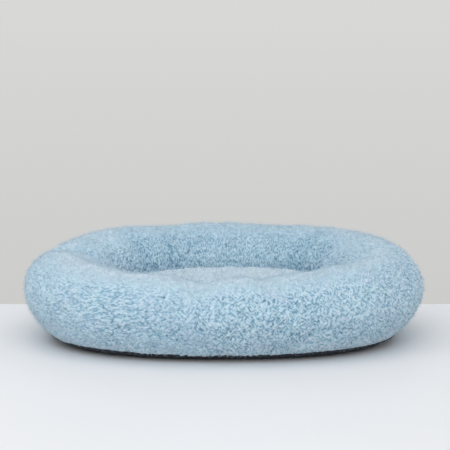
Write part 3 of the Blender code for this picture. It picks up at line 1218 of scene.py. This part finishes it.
def woven_material(name, dark, light, roughness, threads):
    """Cloth woven from threads along X and Y, at so many to the metre."""
    material = new_material(name, roughness)
    place = add_node(material, "ShaderNodeTexCoord")
    heights = []
    for direction in ("X", "Y"):
        wave = add_node(
            material, "ShaderNodeTexWave", bands_direction=direction,
            scale=threads * full_turn / wave_radians, distortion=0.6, detail=1,
        )
        join(material, place.outputs["Object"], wave.inputs["Vector"])
        heights.append(wave.outputs["Fac"])
    weave = math_node(material, "MAXIMUM", *heights)
    colour = ramp_node(material, weave, ((0.25, *dark), (0.95, *light)))
    worn = ramp_node(material, object_noise(material, 60, 4), (
        (0.35, 0.82, 0.82, 0.82),
        (0.65, 1.0, 1.0, 1.0),
    ))
    join(material, multiplied(material, colour, worn), shader_of(material).inputs["Base Color"])
    add_bump(material, weave, 0.0002, 0.7)
    return material


def loose_material(name, dark, light, grain, bump):
    """Matted fibre or nonwoven cloth, with a grain of so many lumps to the metre."""
    material = new_material(name, 1.0)
    strands = object_noise(material, grain, 6)
    colour = ramp_node(material, strands, ((0.3, *dark), (0.7, *light)))
    join(material, colour, shader_of(material).inputs["Base Color"])
    add_bump(material, strands, bump, 0.6)
    return material


def table_material():
    material = new_material("table_white", 0.55)
    tone = ramp_node(material, object_noise(material, 3, 2), (
        (0.3, 0.785, 0.785, 0.800),
        (0.7, 0.805, 0.805, 0.820),
    ))
    join(material, tone, shader_of(material).inputs["Base Color"])
    return material


# Stage, camera and lights

camera_distance = 3.0
camera_side = -0.0013
camera_elevation = math.radians(11.2)
frame_pixels = 450
focal_pixels = 2253
ground_pixel = (223, 334.5)
sensor_width = 36
table_back = 0.228
table_half_width = 1.6
table_front = -1.9
table_thickness = 0.03
table_edge = 0.004
lamp_energy = 14
lamp_target = (0, 0, 0.03)


def add_camera():
    camera = bpy.data.cameras.new("camera")
    camera.sensor_width = sensor_width
    camera.lens = sensor_width * focal_pixels / frame_pixels
    item = bpy.data.objects.new("camera", camera)
    bpy.context.scene.collection.objects.link(item)
    below = math.atan((ground_pixel[1] - frame_pixels / 2) / focal_pixels)
    beside = math.atan((ground_pixel[0] - frame_pixels / 2) / focal_pixels)
    item.location = (
        camera_side,
        -camera_distance * math.cos(camera_elevation),
        camera_distance * math.sin(camera_elevation),
    )
    item.rotation_euler = (quarter_turn - (camera_elevation - below), 0, beside)
    bpy.context.scene.camera = item


def add_stage(material):
    """A table top with a softly rounded edge, which ends close behind the bed."""
    across = (-table_half_width, table_half_width)
    along = (table_front, table_back)
    corners = [(x, y, z) for z in (-table_thickness, 0) for y in along for x in across]
    quads = np.array([
        [0, 2, 3, 1], [4, 5, 7, 6], [0, 1, 5, 4], [2, 6, 7, 3], [0, 4, 6, 2], [1, 3, 7, 5],
    ])
    table = new_mesh("table_top", corners, quads, material, smooth=False)
    bevel = table.modifiers.new("edge", "BEVEL")
    bevel.width = table_edge
    bevel.segments = 4


def add_light(name, size, place):
    lamp = bpy.data.lights.new(name, "AREA")
    lamp.energy = lamp_energy
    lamp.size = size
    item = bpy.data.objects.new(name, lamp)
    bpy.context.scene.collection.objects.link(item)
    item.location = place
    item.rotation_euler = (Vector(lamp_target) - Vector(place)).to_track_quat("-Z", "Y").to_euler()


def add_world():
    """Soft light from all round, and a pale wall that is a little darker lower down."""
    world = bpy.data.worlds.new("studio")
    bpy.context.scene.world = world
    world.use_nodes = True
    place = add_node(world, "ShaderNodeTexCoord")
    height = add_node(world, "ShaderNodeSeparateXYZ")
    join(world, place.outputs["Generated"], height.inputs["Vector"])
    level = add_node(world, "ShaderNodeMapRange", from_min=-0.18, from_max=-0.05)
    join(world, height.outputs["Z"], level.inputs["Value"])
    wall = add_node(world, "ShaderNodeBackground")
    tone = ramp_node(world, level.outputs["Result"], (
        (0.0, 0.605, 0.605, 0.592),
        (1.0, 0.685, 0.690, 0.682),
    ))
    join(world, tone, wall.inputs["Color"])
    fill = world.node_tree.nodes["Background"]
    fill.inputs["Color"].default_value = (0.95, 0.98, 1.0, 1)
    dome = add_node(world, "ShaderNodeMapRange", to_min=0.98, to_max=0.54)
    join(world, height.outputs["Z"], dome.inputs["Value"])
    join(world, dome.outputs["Result"], fill.inputs["Strength"])
    path = add_node(world, "ShaderNodeLightPath")
    mix = add_node(world, "ShaderNodeMixShader")
    join(world, path.outputs["Is Camera Ray"], mix.inputs["Fac"])
    join(world, fill.outputs["Background"], mix.inputs[1])
    join(world, wall.outputs["Background"], mix.inputs[2])
    join(world, mix.outputs["Shader"], world.node_tree.nodes["World Output"].inputs["Surface"])


random = np.random.default_rng(seed)
fleece = fleece_material()
dark_cloth = woven_material(
    "dark_cloth", (0.008, 0.010, 0.014), (0.028, 0.034, 0.046), 0.85, 900,
)
fibre = loose_material("white_fibre", (0.62, 0.62, 0.60), (0.86, 0.86, 0.84), 420, 0.0012)
grey_lining = loose_material("grey_lining", (0.25, 0.28, 0.31), (0.34, 0.37, 0.40), 900, 0.0003)
add_camera()
rim_fleece(fleece, random)
cushion_fleece(fleece, random)
rim_fibre(fibre)
under_cloth(dark_cloth)
floor_layers(grey_lining, fibre)
cushion_backing(dark_cloth)
cushion_fibre(fibre)
add_stage(table_material())
add_world()
add_light("key", 2.2, (-0.20, -0.55, 1.60))
add_light("front", 1.8, (-0.10, -2.60, 1.00))
bpy.context.scene.view_settings.view_transform = "Standard"
